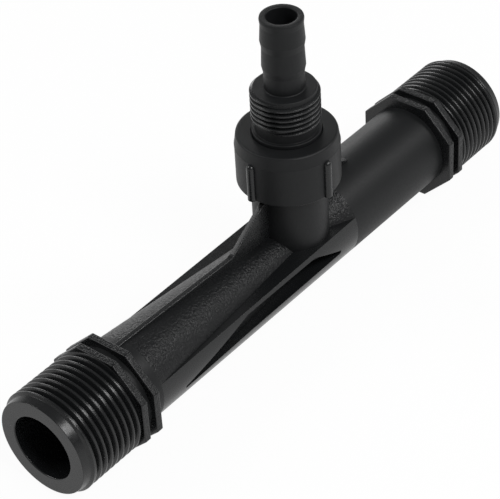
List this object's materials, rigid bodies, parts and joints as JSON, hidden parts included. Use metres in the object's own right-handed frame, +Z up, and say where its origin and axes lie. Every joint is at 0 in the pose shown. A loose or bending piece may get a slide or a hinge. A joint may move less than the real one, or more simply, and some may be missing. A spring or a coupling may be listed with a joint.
{
  "type": "venturi suction tee",
  "caption": "Straight run with male pipe threads at both ends and a venturi waist, with a suction branch on top: union nut, check valve and threaded, barbed hose spigot.",
  "frame": {"origin": "middle of the bounding box's base, in the plane of the collar flats that the fitting rests on", "axes": "+X along the run, the way the liquid flows from the inlet to the outlet; +Z up along the suction branch; Y across"},
  "size_m": [0.1626, 0.0274, 0.0782],
  "materials": {
    "body_polypropylene": "moulded black, semi-gloss with spark-textured recesses",
    "nut_polypropylene": "moulded black, smooth semi-gloss",
    "spigot_polypropylene": "moulded black, smooth semi-gloss",
    "seal_rubber": "moulded rubber, matte",
    "ball_acetal": "ground ball",
    "spring_stainless": "drawn stainless wire"
  },
  "bodies": {
    "tee": {"venturi_body": "body_polypropylene", "check_spring": "spring_stainless"},
    "washer": {"flange_seal": "seal_rubber"},
    "spigot": {"hose_spigot": "spigot_polypropylene", "valve_seat": "seal_rubber"},
    "nut": {"union_nut": "nut_polypropylene"},
    "ball": {"check_ball": "ball_acetal"}
  },
  "joints": [
    {"name": "union_lift", "type": "slide", "parent": "tee", "child": "washer", "axis": [0, 0, 1], "range_m": [0, 0.00545]},
    {"name": "nut_turn", "type": "hinge", "parent": "washer", "child": "nut", "pos_m": [-0.00815, 0, 0.0402], "axis": [0, 0, 1], "range_deg": [0, 1080]},
    {"name": "spigot_swivel", "type": "hinge", "parent": "washer", "child": "spigot", "pos_m": [-0.00815, 0, 0.04275], "axis": [0, 0, 1], "continuous": true},
    {"name": "ball_lift", "type": "slide", "parent": "tee", "child": "ball", "axis": [0, 0, -1], "range_m": [0, 0.002], "stiffness_N_per_m": 40, "springref_m": -0.004, "deforming": ["check_spring"]}
  ],
  "couplings": [
    {"joint": "union_lift", "follows": "nut_turn", "m_per_rad": 0.00028871}
  ]
}
